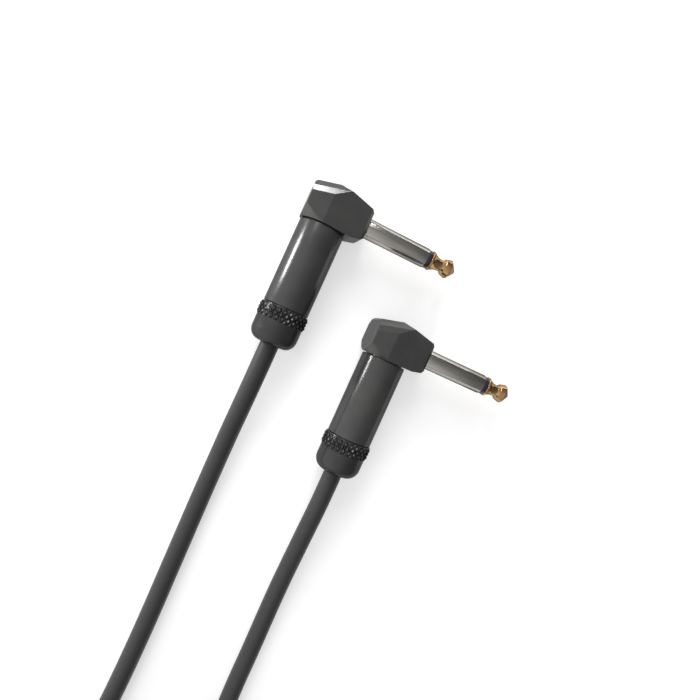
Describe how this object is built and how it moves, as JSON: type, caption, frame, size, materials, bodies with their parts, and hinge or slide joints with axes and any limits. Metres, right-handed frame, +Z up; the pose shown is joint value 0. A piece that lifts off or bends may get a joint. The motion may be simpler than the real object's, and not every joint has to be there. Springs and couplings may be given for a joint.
{
  "type": "instrument cable",
  "caption": "Screened instrument cable with a right-angle 6.35 mm phone plug on each end, screw-off end caps and the spare length tied in a round coil.",
  "frame": {"origin": "on the surface that the plugs lie on, under the middle of the box round both plugs", "axes": "+Z up, +X along both shafts towards their tips, -Y down both barrels towards the cord"},
  "size_m": [0.1086, 0.2985, 0.028],
  "materials": {
    "shell": "satin black anodised",
    "nickel": "nickel plated, turned",
    "gold": "gold plated, polished",
    "insulator": "gloss",
    "nylon": "satin",
    "fibre": "matte",
    "lug_brass": "tinned and pressed",
    "jacket": "matte",
    "core": "satin",
    "copper": "twisted strands",
    "tie": "woven"
  },
  "bodies": {
    "cable": {"head_a": "shell", "sleeve_a": "nickel", "tip_ring_a": "insulator", "tip_contact_a": "gold", "shaft_tube_a": "nylon", "rod_washer_a": "fibre", "tip_lug_a": "lug_brass", "rod_nut_a": "lug_brass", "ground_lug_a": "lug_brass", "barrel_a": "shell", "barrel_liner_a": "fibre", "cord_chuck_a": "nylon", "cord_tail_a": "jacket", "core_wire_a": "core", "screen_pigtail_a": "copper", "head_b": "shell", "sleeve_b": "nickel", "tip_ring_b": "insulator", "tip_contact_b": "gold", "shaft_tube_b": "nylon", "rod_washer_b": "fibre", "tip_lug_b": "lug_brass", "rod_nut_b": "lug_brass", "ground_lug_b": "lug_brass", "barrel_b": "shell", "barrel_liner_b": "fibre", "cord_chuck_b": "nylon", "cord_tail_b": "jacket", "core_wire_b": "core", "screen_pigtail_b": "copper", "cord_run_a": "jacket", "cord_coil": "jacket", "cord_run_b": "jacket", "coil_tie": "tie"},
    "thrust_a": {"thrust_ring_a": "lug_brass"},
    "cap_a": {"end_cap_a": "shell"},
    "thrust_b": {"thrust_ring_b": "lug_brass"},
    "cap_b": {"end_cap_b": "shell"}
  },
  "joints": [
    {"name": "cap_a_travel", "type": "slide", "parent": "cable", "child": "thrust_a", "axis": [0, -1, 0], "range_m": [0, 0.0045]},
    {"name": "cap_a_turn", "type": "hinge", "parent": "thrust_a", "child": "cap_a", "pos_m": [-0.0357, -0.0029, 0.00795], "axis": [0, -1, 0], "range_deg": [0, 1620]},
    {"name": "cap_b_travel", "type": "slide", "parent": "cable", "child": "thrust_b", "axis": [0, -1, 0], "range_m": [0, 0.0045]},
    {"name": "cap_b_turn", "type": "hinge", "parent": "thrust_b", "child": "cap_b", "pos_m": [-0.0007, -0.0319, 0.00795], "axis": [0, -1, 0], "range_deg": [0, 1620]}
  ],
  "couplings": [
    {"joint": "cap_a_travel", "follows": "cap_a_turn", "m_per_rad": 0.00015915},
    {"joint": "cap_b_travel", "follows": "cap_b_turn", "m_per_rad": 0.00015915}
  ]
}
